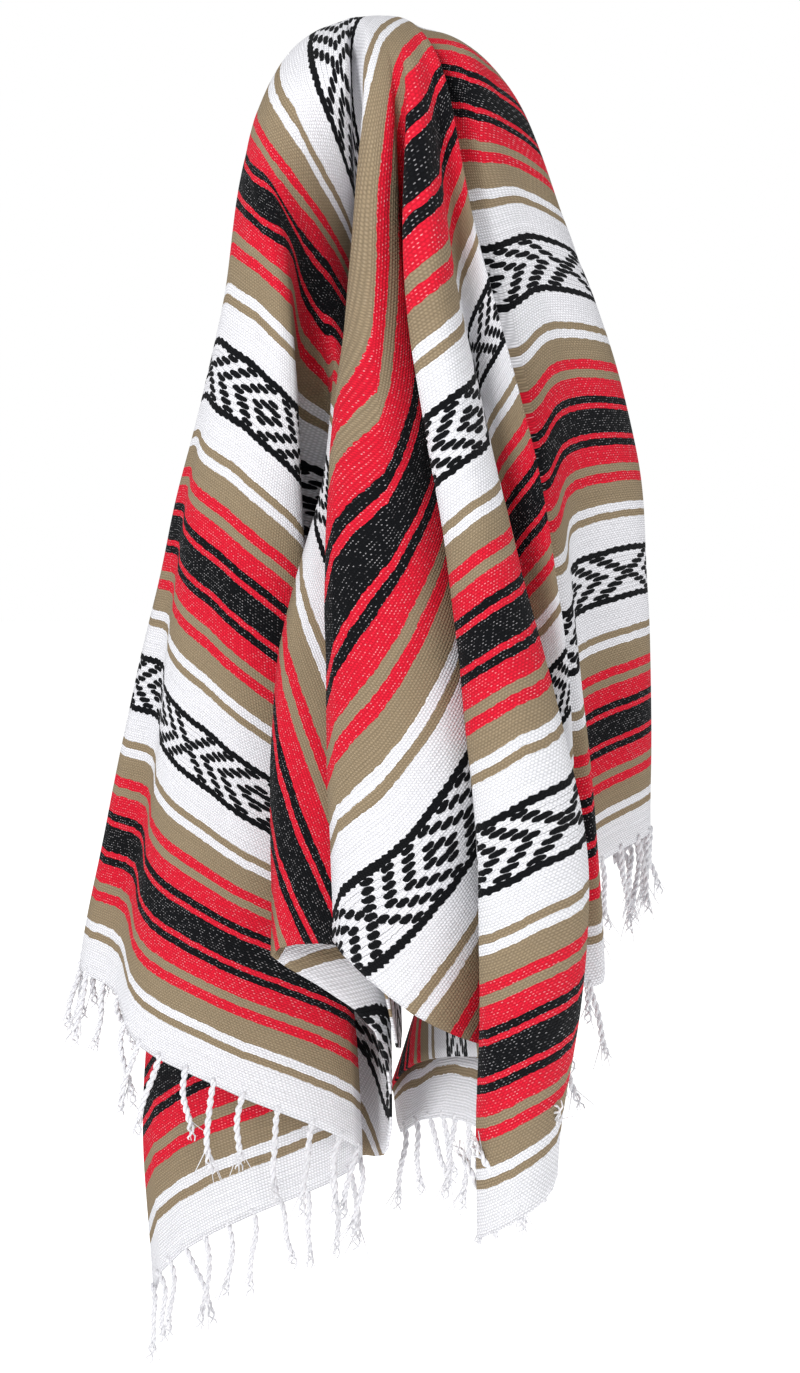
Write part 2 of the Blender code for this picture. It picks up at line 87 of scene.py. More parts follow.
# One row for each fold line, from the left corner at the back round the front to the back again.
# Its bearing on the crown, at the shoulder, the middle and the foot; its slack at the shoulder and the foot
# (length along the cloth less drop); its plan x, y at the shoulder, chest, waist and foot. Then, where it has
# them, the share that it is drawn in to the hang point at the outer crown, and its plan x, y beyond the foot.
Fold = namedtuple("Fold", "name crown top mid low slack_top slack_low x1 y1 x2 y2 x3 y3 x4 y4 tuck x5 y5",
                  defaults=(0, None, None))
FC, BC = FRONT_CORNER, BACK_CORNER
FOLDS = [Fold(*row) for row in (
    ("left_back_corner", -BC, -BC, -BC, -BC, .06, .11, -.118, .080, -.136, .115, -.150, .150, -.190, .170),
    ("left_back_crest", -99, -99, -99, -99, .04, .11, -.143, .040, -.174, .080, -.206, .105, -.250, .120),
    ("left_back_valley", -89, -89, -89, -90, .05, .11, -.134, .018, -.156, .050, -.205, .060, -.262, .060),
    ("left_edge", -70, -70, -74, -77, .02, .10, -.148, -.010, -.200, .002, -.248, .005, -.286, .000),
    ("left_pleat_valley", -66, -66, -70, -73, .03, .10, -.142, -.024, -.186, -.014, -.214, -.006,
     -.248, -.020),
    ("left_pleat_crest", -62, -63, -67, -70, .03, .08, -.132, -.034, -.181, -.030, -.201, -.040,
     -.226, -.040),
    ("left_panel", -56, -58, -58, -64.5, .03, .08, -.114, -.045, -.136, -.055, -.141, -.060, -.146, -.060),
    ("left_crest", -52, -51, -49, -57, .03, .07, -.090, -.050, -.073, -.048, -.054, -.045, -.026, -.020),
    ("left_return", -43, -42, -44.5, -FC, .06, .09, -.084, -.030, -.104, .002, -.142, .032, -.226, .085),
    ("return_turn", -40, -37, -42.5, -43.8, .06, .10, -.079, -.018, -.096, .024, -.130, .052, -.214, .105),
    ("inner_crest", -36, -33, -40, -38.8, .06, .11, -.071, -.008, -.041, .030, -.030, .050, -.030, .055),
    ("inner_column", -34.5, -32, -39.2, -36.8, .06, .11, -.066, -.003, -.038, .000, -.016, -.002, .000, .000),
    ("sash_wall", -33, -31, -38.5, -34.5, .06, .19, -.061, .002, -.037, -.028, -.020, -.045, -.010, -.050),
    ("sash_crest", -30, -29.5, -37, -31.5, .06, .235, -.053, .010, -.052, -.054, -.091, -.100, -.096, -.095),
    ("sash_front", -22, -26, -29, -26, .06, .205, -.043, .026, -.022, -.062, -.021, -.112, -.021, -.105),
    ("inner_flap", 6, -19, -18, -19, .07, .05, -.034, .050, -.008, .030, .004, .010, .014, -.030),
    ("deep_left", 11, -9, -9, -8, .08, .10, -.022, .074, .010, .118, .015, .128, .016, .128, .28),
    ("deep_left_turn", 19, -4, -4, -3, .08, .10, -.004, .070, .028, .116, .034, .126, .035, .126, .25),
    ("deep_return", 23, 5, 4, 7, .06, .13, -.012, -.010, .012, -.060, .025, -.100, .028, -.090, .12),
    ("centre_crest", 27.5, 17.2, 13.5, 18.5, .045, .18, -.030, -.070, -.046, -.105, -.046, -.145,
     -.041, -.140),
    ("centre_panel", 32, 19.5, 18.5, 22.5, .035, .150, -.011, -.092, .004, -.135, .016, -.170, .024, -.165),
    ("centre_right", 38.5, 25, 23.3, 26.5, .045, .140, .014, -.078, .050, -.105, .080, -.138, .089, -.130),
    ("deep_right_turn", 40.5, 30, 36, 42, .07, .20, .017, -.040, .060, .050, .074, .060,
     .062, .072, 0, -.030, .082),
    ("deep_right_back", 42.5, 33.5, 38, 43.6, .07, .21, .030, -.042, .076, .050, .091, .060,
     .076, .074, 0, -.022, .090),
    ("deep_right", 44.5, 37, 40.5, FC, .065, .21, .036, -.058, .081, .018, .099, .020,
     .088, .045, 0, -.004, .058),
    ("front_wall", 46, 41, 49, 57, .045, .09, .036, -.078, .089, -.065, .116, -.095, .119, -.095),
    ("front_left", 47.5, 46.5, 56, 63.5, .03, .022, .019, -.118, .054, -.155, .078, -.190, .076, -.190),
    ("front_panel", 49.5, 50, 60, 66.5, .03, .022, .042, -.128, .082, -.175, .122, -.205, .109, -.205),
    ("front_right", 52, 54.5, 63.5, 69, .03, .018, .060, -.100, .112, -.148, .166, -.168, .142, -.160),
    ("front_back", 56, 61, 68, 73, .045, .05, .064, -.055, .104, -.080, .134, -.090, .124, -.085),
    ("second_crest", 61, 74, 77, 80, .06, .07, .084, -.068, .140, -.095, .164, -.090, .156, -.080),
    ("second_valley", 94, 84, 81, 82, .085, .07, .073, -.018, .118, -.032, .146, -.030, .144, -.030, .28),
    ("third_crest", 128, 92, 85, 85, .09, .07, .098, -.022, .150, -.016, .184, -.030, .200, -.030),
    ("third_valley", 138, 99, 89, 87, .105, .13, .128, .004, .172, .022, .178, .045, .179, .050),
    ("right_edge", 143, 111.5, 98, 97, .108, .180, .174, .060, .249, .110, .267, .130, .269, .135),
    ("right_back_corner", 149, 122, 112, BC, .112, .178, .164, .110, .219, .165, .236, .190, .242, .200),
    ("back_right", 157, 138, 130, 128, .11, .12, .112, .138, .124, .190, .114, .205, .114, .205),
    ("back_mid_right", 168, 156, 153, 152, .09, .10, .058, .147, .064, .195, .064, .195, .064, .195),
    ("back_middle", 182, 180, 180, 180, .08, .09, -.001, .145, -.001, .170, -.001, .170, -.001, .170),
    ("back_mid_left", 208, 208, 208, 208, .07, .09, -.054, .140, -.046, .178, -.046, .185, -.046, .185),
    ("back_left", 232, 232, 232, 232, .07, .11, -.090, .118, -.086, .165, -.076, .185, -.076, .185),
    ("back_left_side", 241, 241, 241, 241, .065, .11, -.106, .101, -.112, .144, -.112, .172, -.112, .172),
)]
COUNT = len(FOLDS)


def smooth_through(knots, values, at, start_slope=None, end_slope=None):
    """A soft curve through (knot, value) pairs, read at each place in `at`."""
    knots = np.asarray(knots, float)
    values = np.asarray(values, float)
    step = np.diff(knots)
    rise = np.diff(values) / step
    slope = np.zeros(len(knots))
    slope[1:-1] = (rise[:-1] * step[1:] + rise[1:] * step[:-1]) / (step[:-1] + step[1:])
    slope[0] = rise[0] if start_slope is None else start_slope
    slope[-1] = rise[-1] if end_slope is None else end_slope
    piece = np.clip(np.searchsorted(knots, at, side="right") - 1, 0, len(step) - 1)
    t = (at - knots[piece]) / step[piece]
    left = (2 * t**3 - 3 * t**2 + 1) * values[piece] + (t**3 - 2 * t**2 + t) * step[piece] * slope[piece]
    right = (3 * t**2 - 2 * t**3) * values[piece + 1] + (t**3 - t**2) * step[piece] * slope[piece + 1]
    return left + right


def dome_fall(distance):
    """Drop of the dome's surface below its top at a distance from its axis."""
    share = np.clip(distance / DOME_RADIUS, 0.0, DOME_RIM)
    return DOME_HEIGHT * (1 - (1 - share**DOME_SQUARENESS) ** (1 / DOME_SQUARENESS))


def on_dome(bearing, length):
    """Plan place and drop of a point on the dome, `length` along the cloth from the hang point."""
    lower_way = np.interp(bearing, *zip(*CROWN_WAYS))
    low_share = length / CROWN_OUTER
    turned = np.radians((bearing + CROWN_TURN) * (1 - low_share) + lower_way * low_share)
    heading = np.array((np.sin(turned), -np.cos(turned)))
    low, high = 0.0, length
    for _ in range(DOME_HALVINGS):
        reach = (low + high) / 2
        place = HANG_POINT + reach * heading
        fall = dome_fall(np.hypot(*place))
        if np.hypot(reach, fall) > CROWN_STRAIGHT * length:
            high = reach
        else:
            low = reach
    return place, fall


def bearing_at(fold, length):
    """The ray's bearing on the flat, which wanders a little down the fold."""
    stations = (0.0, CROWN_OUTER, SHOULDER, MIDDLE, FOOT, BEYOND)
    bearings = (fold.crown, fold.crown, fold.top, fold.mid, fold.low, fold.low)
    return smooth_through(stations, bearings, length, 0.0, 0.0)


def hanging_ray(fold, length):
    """Points of one fold line at each distance along the cloth."""
    inner, inner_fall = on_dome(fold.crown, CROWN_INNER)
    outer, outer_fall = on_dome(fold.crown, CROWN_OUTER)
    shoulder = np.array((fold.x1, fold.y1))
    spread = HANG_POINT + CROWN_SPREAD * (shoulder - HANG_POINT)
    outer = outer * (1 - CROWN_PLEATED) + spread * CROWN_PLEATED
    outer = outer + (HANG_POINT - outer) * fold.tuck
    slack_rate = (fold.slack_low - fold.slack_top) / (FOOT - SHOULDER)
    drops = [station - fold.slack_top - slack_rate * (station - SHOULDER)
             for station in (SHOULDER, CHEST, WAIST, FOOT, BEYOND)]
    outer_fall = outer_fall * (1 - CROWN_PLEATED) + CROWN_FALL * drops[0] * CROWN_PLEATED
    outer_fall += CREASE_FALL * fold.tuck
    knots = (0.0, CROWN_INNER, CROWN_OUTER, SHOULDER, CHEST, WAIST, FOOT, BEYOND)
    beyond = (fold.x4, fold.y4) if fold.x5 is None else (fold.x5, fold.y5)
    xs = (HANG_POINT[0], inner[0], outer[0], fold.x1, fold.x2, fold.x3, fold.x4, beyond[0])
    ys = (HANG_POINT[1], inner[1], outer[1], fold.y1, fold.y2, fold.y3, fold.y4, beyond[1])
    falls = (dome_fall(np.hypot(*HANG_POINT)), inner_fall, outer_fall, *drops)
    return np.stack((smooth_through(knots, xs, length),
                     smooth_through(knots, ys, length),
                     WALL / 2 - smooth_through(knots, falls, length)), axis=-1)


def reach_of(bearing):
    """Distance on the flat from the hang point to the blanket's edge."""
    angle = np.radians(bearing)
    across, along = np.cos(angle), abs(np.sin(angle))
    edge = FRONT_REACH / across if across > 0 else BACK_REACH / max(-across, 1e-9)
    return min(edge, END_REACH / max(along, 1e-9))


def between(p, share):
    """A point a share of the way from p[1] to p[2], on a soft curve through the four points.

    The curve's knots are as far apart as the square roots of the distances, so it makes no loops.
    """
    gap = [np.sqrt(np.maximum(np.linalg.norm(p[i + 1] - p[i], axis=-1), NEAREST_SPACING))[:, None]
           for i in range(3)]
    t0, t1 = 0.0, gap[0]
    t2 = t1 + gap[1]
    t3 = t2 + gap[2]
    t = t1 + (t2 - t1) * share
    a1 = (t1 - t) / (t1 - t0) * p[0] + (t - t0) / (t1 - t0) * p[1]
    a2 = (t2 - t) / (t2 - t1) * p[1] + (t - t1) / (t2 - t1) * p[2]
    a3 = (t3 - t) / (t3 - t2) * p[2] + (t - t2) / (t3 - t2) * p[3]
    b1 = (t2 - t) / (t2 - t0) * a1 + (t - t0) / (t2 - t0) * a2
    b2 = (t3 - t) / (t3 - t1) * a2 + (t - t1) / (t3 - t1) * a3
    return (t2 - t) / (t2 - t1) * b1 + (t - t1) / (t2 - t1) * b2


# how finely the shown cloth is divided
COLUMNS_PER_DEGREE = 0.66
FEWEST_COLUMNS = 4                              # between one fold line and the next
RINGS = 140
RING_POWER = 1.15                               # above 1, the rings are closer together at the crown
CLOTH = 0.0026                                  # thickness of the shown cloth
EDGE_HALVINGS = 40                              # times that the search for the cloth's edge halves its range
EDGE_FROM = 0.2                                 # where that search starts, nearer than any edge

# Creases, listed one by one: bearing at the crown and at the hem, where the crease starts and stops down the
# cloth, its half width and its height off the drape (towards the inside where negative).
Crease = namedtuple("Crease", "top low start stop width height")
CREASES = [Crease(*row) for row in (
    (-84, -86, .20, .95, .012, -.0020),
    (-61, -61, .35, .98, .010, -.0018),
    (-55, -60, .16, .60, .008, -.0022),
    (-51, -54, .12, .42, .006, .0018),
    (-46, -46, .30, 1.05, .012, -.0016),
    (-33, -31, .45, .95, .010, -.0020),
    (21, 21, .40, .95, .010, -.0018),
    (47, 62, .25, .80, .008, -.0020),
    (50, 66, .50, 1.00, .010, .0018),
    (90, 90, .25, .80, .014, -.0025),
    (93, 94, .50, .93, .010, .0020),
    (108, 106, .20, .75, .014, -.0025),
    (122, 120, .30, .70, .014, .0022),
    (140, 141, .12, .34, .012, -.0030),
    (160, 163, .10, .34, .012, .0030),
    (172, 170, .14, .34, .010, -.0030),
    (193, 190, .10, .34, .013, .0030),
    (205, 204, .16, .36, .010, -.0025),
    (222, 224, .14, .45, .012, .0028),
    (236, 237, .20, .60, .012, -.0025),
    (251, 250, .30, .90, .012, .0022),
)]
CREASE_FADE = 0.7                               # below 1, a crease keeps its height nearer to its ends

# Small waves all over the cloth: radians for each metre across and along, phase, and height.
Ripple = namedtuple("Ripple", "by_across by_along phase height")
RIPPLES = [Ripple(*row) for row in (
    (31.0, 9.0, 0.4, .00045),
    (17.0, -23.0, 1.9, .00055),
    (-11.0, 41.0, 3.1, .00035),
    (67.0, 29.0, 5.0, .00022),
)]


def unit(vector):
    """The same direction, one long."""
    return vector / np.maximum(np.linalg.norm(vector, axis=-1, keepdims=True), 1e-12)


def ring_lengths(reach):
    """Distances of the rings from the hang point. Down to the foot they match from column to column."""
    shares = np.linspace(0.0, 1.0, RINGS) ** RING_POWER
    near = min(reach, FOOT)
    return shares * (near + (reach - near) * shares**2)


def reach_along(bearing):
    """Where a fold line whose bearing wanders meets the blanket's edge."""
    low, high = EDGE_FROM, BEYOND
    for _ in range(EDGE_HALVINGS):
        middle = (low + high) / 2
        if middle > reach_of(bearing(np.array([middle]))[0]):
            high = middle
        else:
            low = middle
    return low


def neighbours(row):
    """A fold line, the next one round, and the whole turn to add to the next one's bearing."""
    return FOLDS[row], FOLDS[(row + 1) % COUNT], 360.0 if row == COUNT - 1 else 0.0


def four_rays(row, lengths):
    """The fold line before a row, its own and the two after it, as `between` takes them."""
    return [hanging_ray(FOLDS[(row + step) % COUNT], lengths) for step in (-1, 0, 1, 2)]


def column(row, share):
    """Points of the cloth from the crown to its edge, with their bearing and distance on the flat."""
    here, following, turn = neighbours(row)

    def bearing(length):
        return bearing_at(here, length) * (1 - share) + (bearing_at(following, length) + turn) * share

    lengths = ring_lengths(reach_along(bearing))
    four = four_rays(row, lengths)
    return between(four, share) if share else four[1], bearing(lengths), lengths


def columns_of(row):
    """How many columns lie between one fold line and the next."""
    here, following, turn = neighbours(row)
    span = max(getattr(following, at) + turn - getattr(here, at) for at in ("crown", "top", "mid", "low"))
    return max(FEWEST_COLUMNS, round(span * COLUMNS_PER_DEGREE))


def crease_height(bearings, lengths):
    """How far the creases and ripples lift each point of the cloth off the drape."""
    height = np.zeros_like(lengths)
    for crease in CREASES:
        share = np.clip((lengths - crease.start) / (crease.stop - crease.start), 0.0, 1.0)
        centre = crease.top + (crease.low - crease.top) * share
        aside = lengths * np.radians((bearings - centre + 180) % 360 - 180)
        fade = np.sin(math.pi * share) ** CREASE_FADE
        height += crease.height * fade * np.exp(-(aside / crease.width) ** 2)
    along = lengths * np.sin(np.radians(bearings))
    across = lengths * np.cos(np.radians(bearings))
    off_crown = np.clip(lengths / CROWN_OUTER, 0.0, 1.0)
    for ripple in RIPPLES:
        wave = np.sin(ripple.by_across * across + ripple.by_along * along + ripple.phase)
        height += off_crown * ripple.height * wave
    return height


def outward(points):
    """The cloth's normals on its outer face. All columns share the first point, the hang point."""
    round_way = np.roll(points, -1, axis=0) - np.roll(points, 1, axis=0)
    down_way = np.gradient(points, axis=1)
    normals = unit(np.cross(down_way, round_way))
    normals[:, 0] = (0.0, 0.0, 1.0)
    return normals


def draped_cloth():
    """The whole blanket as arrays, column by ring: points, outward normals, bearings and distances."""
    woven = [column(row, part / columns_of(row)) for row in range(COUNT) for part in range(columns_of(row))]
    points, bearings, lengths = (np.array(part) for part in zip(*woven))
    points = points + outward(points) * crease_height(bearings, lengths)[..., None]
    return points, outward(points), bearings, lengths


def placed(name, data):
    """A new object in the scene."""
    made = bpy.data.objects.new(name, data)
    bpy.context.scene.collection.objects.link(made)
    return made


def mesh_object(name, vertices, faces, uvs=None):
    """A smooth mesh object; uvs has one pair for each vertex."""
    mesh = bpy.data.meshes.new(name)
    mesh.from_pydata([tuple(map(float, v)) for v in vertices], [], faces)
    if uvs is not None:
        layer = mesh.uv_layers.new(name="flat_place")
        corner_vertices = np.empty(len(mesh.loops), np.int32)
        mesh.loops.foreach_get("vertex_index", corner_vertices)
        layer.data.foreach_set("uv", np.asarray(uvs, np.float32)[corner_vertices].ravel())
    mesh.polygons.foreach_set("use_smooth", [True] * len(mesh.polygons))
    return placed(name, mesh)


def make_blanket():
    """The woven blanket as one thin shell: its outer face, its inner face and the edge between them."""
    points, normals, bearings, lengths = draped_cloth()
    columns, rings = lengths.shape
    across = BACK_REACH + lengths * np.cos(np.radians(bearings))
    along = END_REACH + lengths * np.sin(np.radians(bearings))
    flat = np.stack((across / BLANKET_WIDTH, along / BLANKET_LENGTH), axis=-1)
    sides = []
    for side in (CLOTH / 2, -CLOTH / 2):
        grid = points + normals * side
        sides.append(np.vstack((grid[:1, 0], grid[:, 1:].reshape(-1, 3))))
    flat = np.vstack((flat[:1, 0], flat[:, 1:].reshape(-1, 2)))
    per_side = len(flat)

    def number(column_index, ring):
        return 0 if ring == 0 else 1 + (column_index % columns) * (rings - 1) + ring - 1

    faces = []
    for c in range(columns):
        for ring in range(rings - 1):
            face = [number(c, ring), number(c, ring + 1), number(c + 1, ring + 1), number(c + 1, ring)]
            face = list(dict.fromkeys(face))
            faces.append(face)
            faces.append([k + per_side for k in reversed(face)])
        a, b = number(c, rings - 1), number(c + 1, rings - 1)
        faces.append([b, a, a + per_side, b + per_side])
    return mesh_object("blanket", np.vstack(sides), faces, np.vstack((flat, flat)))


# the fringe: locks of two strands twisted together, frayed at the tip
LOCK_SPACING = 0.028
LOCK_LENGTH = 0.078
LOCK_LENGTHS = (0.86, 1.08)                     # shortest and longest lock, as shares of LOCK_LENGTH
LOCK_STEPS = 26
LOCK_TWIST = 0.017                              # length of one turn of the two strands
LOCK_LEAN = 0.16                                # how far locks lean aside, for each metre that they fall
SWAY = 0.14                                     # how much a lock bends to and fro on its way down
SWAY_X, SWAY_Y = 7, 6                           # how fast it does so, in radians for a whole lock
ROOT_DEPTH = 0.004                              # how far a lock's root reaches back into the cloth
DROOP_START, DROOP_RATE = 0.25, 2.2             # share of a lock's way that is down at its root; its growth
ROOT_AT, BEHIND_ROOT = 0.9985, 0.985            # places at and behind the hem, as shares of END_REACH
HEM_STEP = 0.004                                # half the stretch of hem that a lock's way is taken from
SELVEDGE_MARGIN = 0.001                         # how far inside the selvedges that stretch stays
STRAND_SIDES = 6
STRAND_RADIUS = 0.0017
STRAND_APART = 0.00155
FRAYED = 0.72                                   # share of the lock where the strands come apart
FRAY_OPENING, FRAY_THINNING = 5.0, 2.4          # how fast they part and thin from there on
WISPS = 5                                       # loose hairs at each tip
WISP_LENGTHS = (0.22, 0.36)                     # as shares of the lock
WISP_SPLAY = (0.3, 0.6)                         # least and most that a wisp points aside
WISP_BEND, WISP_CURL, WISP_DROOP = 0.3, 0.35, 0.12
WISP_STEPS, WISP_SIDES = 6, 4
WISP_RADIUS = 0.0006
WISP_TIP = 0.5                                  # its tip's radius, as a share of WISP_RADIUS
# the locks of the second end that are caught up behind the long right fold, from the back selvedge
TUCKED_FROM, TUCKED_TO = 0.60, 0.97
TUCK_CENTRE = (0.112, -0.150)                   # plan place of the middle of that fold's hem
TURN_SHARE = 0.12                               # share of the lock that goes round the hem
TURN_DEPTH = 0.009                              # how far behind the cloth it then runs up


def cloth_at(bearing, length):
    """The place of one point of the cloth, from its bearing and distance on the flat."""
    at = np.array([length])
    bearings = np.array([bearing_at(fold, at)[0] for fold in FOLDS])
    bearings = np.append(bearings, bearings[0] + 360.0)
    if bearing < bearings[0]:
        bearing += 360.0
    row = int(np.clip(np.searchsorted(bearings, bearing, side="right") - 1, 0, COUNT - 1))
    share = (bearing - bearings[row]) / (bearings[row + 1] - bearings[row])
    return between(four_rays(row, at), float(share))[0]


def flat_point(across, along):
    """cloth_at by distances from the hang point."""
    return cloth_at(math.degrees(math.atan2(along, across)), math.hypot(across, along))


def cross_ways(path, hint):
    """Along each point of a path: its way, and two more at right angles to it."""
    ways = unit(np.gradient(path, axis=0))
    aside = unit(np.cross(ways, np.array(hint)))
    return ways, aside, np.cross(ways, aside)


def tube(vertices, faces, path, radii, sides):
    """A round tube along a path, closed at both ends."""
    _, aside, other = cross_ways(path, (0.31, 0.87, 0.12))
    start = len(vertices)
    for centre, a, b, radius in zip(path, aside, other, radii):
        for k in range(sides):
            angle = 2 * math.pi * k / sides
            vertices.append(centre + radius * (math.cos(angle) * a + math.sin(angle) * b))
    for ring in range(len(path) - 1):
        for k in range(sides):
            a, b = start + ring * sides + k, start + ring * sides + (k + 1) % sides
            faces.append([a, b, b + sides, a + sides])
    last = start + (len(path) - 1) * sides
    faces.append([start + k for k in reversed(range(sides))])
    faces.append([last + k for k in range(sides)])


def lock_root(across, hem):
    """Where a lock leaves the hem, and the way that the warp runs off the cloth there."""
    root = flat_point(across, hem * ROOT_AT)
    behind = flat_point(across, hem * BEHIND_ROOT)
    beside = [flat_point(np.clip(across + step, SELVEDGE_MARGIN - BACK_REACH, FRONT_REACH - SELVEDGE_MARGIN),
                         hem * ROOT_AT) for step in (-HEM_STEP, HEM_STEP)]
    line = unit(beside[1] - beside[0])
    off = unit(root - behind)
    return root, unit(off - line * np.dot(off, line))


def hanging_lock(root, off, length, lean, swirl, shares):
    """The middle line of a lock that leaves the cloth along its warp and droops."""
    place, core = root - off * ROOT_DEPTH, []
    for share in shares:
        core.append(place)
        droop = min(1.0, DROOP_START + share * DROOP_RATE)
        sway = np.array((math.sin(SWAY_X * share + swirl), math.cos(SWAY_Y * share + swirl), 0.0)) * SWAY
        place = place + unit(off * (1 - droop) + (lean + sway) * droop) * length / (LOCK_STEPS - 1)
    return np.array(core)


def tucked_lock(root, off, length, shares):
    """The middle line of a lock that turns in round the hem and runs up behind the cloth."""
    inward = unit(np.append(np.array(TUCK_CENTRE) - root[:2], 0.0))
    turn_in = np.minimum(shares / TURN_SHARE, 1.0)[:, None]
    return root + inward * TURN_DEPTH * turn_in - off * (shares[:, None] - TURN_SHARE / 2) * length


def make_fringe(name, end, random):
    """The locks off one end of the blanket; `end` is -1 for the first and 1 for the second."""
    vertices, faces = [], []
    count = int(BLANKET_WIDTH / LOCK_SPACING)
    shares = np.linspace(0.0, 1.0, LOCK_STEPS)
    frayed = np.maximum(shares - FRAYED, 0.0)
    for k in range(count):
        across = -BACK_REACH + (k + 0.5) * BLANKET_WIDTH / count
        root, off = lock_root(across, END_REACH * end)
        length = LOCK_LENGTH * random.uniform(*LOCK_LENGTHS)
        lean = np.array((random.normal(0, LOCK_LEAN), random.normal(0, LOCK_LEAN), -1.0))
        swirl = random.uniform(0, 2 * math.pi)
        if end > 0 and TUCKED_FROM < across + BACK_REACH < TUCKED_TO:
            core = tucked_lock(root, off, length, shares)
        else:
            core = hanging_lock(root, off, length, lean, swirl, shares)
        ways, aside, other = cross_ways(core, (0.13, 0.92, 0.21))
        turns = shares * length / LOCK_TWIST * 2 * math.pi + swirl
        spread = (1 + frayed * FRAY_OPENING) * STRAND_APART
        radii = (1 - frayed * FRAY_THINNING) * STRAND_RADIUS
        for strand in (0.0, math.pi):
            circle = np.cos(turns + strand)[:, None] * aside + np.sin(turns + strand)[:, None] * other
            tube(vertices, faces, core + circle * spread[:, None], radii, STRAND_SIDES)
        tip, way = core[int(FRAYED * LOCK_STEPS)], ways[int(FRAYED * LOCK_STEPS)]
        for _ in range(WISPS):
            angle, reach = random.uniform(0, 2 * math.pi), random.uniform(*WISP_SPLAY)
            bend = random.normal(0, WISP_BEND, 3)
            out = math.cos(angle) * aside[-1] + math.sin(angle) * other[-1]
            steps = np.linspace(0.0, 1.0, WISP_STEPS)[:, None]
            wisp = random.uniform(*WISP_LENGTHS) * length
            curve = steps**2 * wisp * (bend * WISP_CURL + lean * WISP_DROOP)
            path = tip + steps * wisp * unit(way + out * reach) + curve
            tube(vertices, faces, path, np.linspace(1.0, WISP_TIP, WISP_STEPS) * WISP_RADIUS, WISP_SIDES)
    return mesh_object(name, vertices, faces)


# ---- finishes ----

STRIPE_RED = (0.74, 0.012, 0.035)
STRIPE_BLACK = (0.004, 0.0045, 0.006)
STRIPE_TAN = (0.320, 0.245, 0.155)
STRIPE_WHITE = (0.88, 0.88, 0.92)
SPECK = (0.62, 0.60, 0.62)                      # warp that shows between the picks
# the fringe yarn: painted shade between its fibres, and its white
YARN_SHADE, YARN_WHITE = (0.60, 0.60, 0.64), (0.86, 0.86, 0.88)
END_BAND = 0.114 * STRIPE_REPEAT                # plain white band next to the fringe
BLACK_CENTRE = 0.43 * STRIPE_REPEAT             # middle of the first black stripe, from the first end
MOTIF_CENTRE = 0.93 * STRIPE_REPEAT
# half the repeat, out from the middle of a black stripe: where each colour starts, as a share of the repeat
STRIPES = (
    (0.000, STRIPE_BLACK), (0.038, STRIPE_RED), (0.055, STRIPE_BLACK), (0.079, STRIPE_RED),
    (0.137, STRIPE_TAN), (0.165, STRIPE_RED), (0.196, STRIPE_TAN), (0.265, STRIPE_WHITE),
    (0.292, STRIPE_TAN), (0.316, STRIPE_WHITE),
)
# how far the stripes waver: size of the wavering, and how fine it is across and along
WAVER_SMALL = (0.0024, (170.0, 30.0, 1.0))
WAVER_LARGE = (0.0050, (11.0, 4.0, 1.0))

# rope border of the motif band
ROPE_AT = 0.079 * STRIPE_REPEAT                 # from the middle of the band
ROPE_HALF = 0.0033
ROPE_TURN = 0.0078
ROPE_WAVE = 0.0005                              # how far its edges wave
ROPE_SOFT = 0.0003                              # half the width of its soft edge

# crosses and dotted diamonds of the motif band, in rows of dashes
MOTIF_HALF = 0.069 * STRIPE_REPEAT
PICK = 0.0050                                   # height of one row of the motif
CHEVRON = 0.0264                                # from one chevron to the next
CHEVRON_RISE = 0.70
CROSS_SPACING = 7 * CHEVRON                     # from one cross to the next
FIRST_CROSS = 0.104                             # back selvedge to the first cross
DASH_HALF = 0.0076                              # half a dash's length
DASH_HALF_ROW = 0.50                            # half its height, in rows
DASH_ROUND = 2.6                                # 2 is an ellipse; more has fuller ends
DASH_EDGE = (1.15, 0.85)                        # from the outside to the inside of its soft edge
THIN_SPACING = 0.0085                           # thin dashes between two rows
THIN_LONG = 0.55                                # their length, as a share of the spacing
THIN_EDGE = (0.40, 0.46)                        # where they start, in rows from the middle of a row
THIN_DARK = 0.70

# the weave
RIB = 0.0030                                    # warp ribs
WEFT = 0.0024                                   # weft rows
PICK_EDGE = (0.62, 0.05)                        # from the valley round a pick to its top, in picks
SPECK_WIDE, SPECK_FLAT = 0.6, 2.2               # a speck's shape: less is longer that way
SPECK_EDGE = (0.26, 0.12)
SPECK_CHANCE = (0.35, 1.0)                      # no speck below the first, a full one at the second
SPECK_SHARE = 0.55
DARK_STRIPE = (0.32, 0.0)                       # the green in a stripe's colour, from no specks to all
STREAKS = (14.0, 620.0, 1.0)                    # streaks along the weft, and how much they shade it
STREAK_SHADE = 0.34
FIBRES = (420.0, 800.0, 1.0)
FIBRE_SHADE, FIBRE_ROUGH, FIBRE_HEIGHT = 0.40, 0.12, 0.6
DARKEST_FIBRE = 0.63
VALLEY_PAINTED_SHADE, PAINTED_SHADE_RISE = 0.68, 0.38           # painted shade: how bright the weave is in its valleys; its gain at the top, a little painted light there
LEAST_ROUGH = 0.82
YARN_FIBRES, YARN_STRETCH = 900.0, (1.0, 1.0, 0.35)
YARN_EDGE = (0.2, 0.75)
FLAT_PLACE = [("Across", "Float"), ("Along", "Float")]     # what every group is given, in metres on the cloth


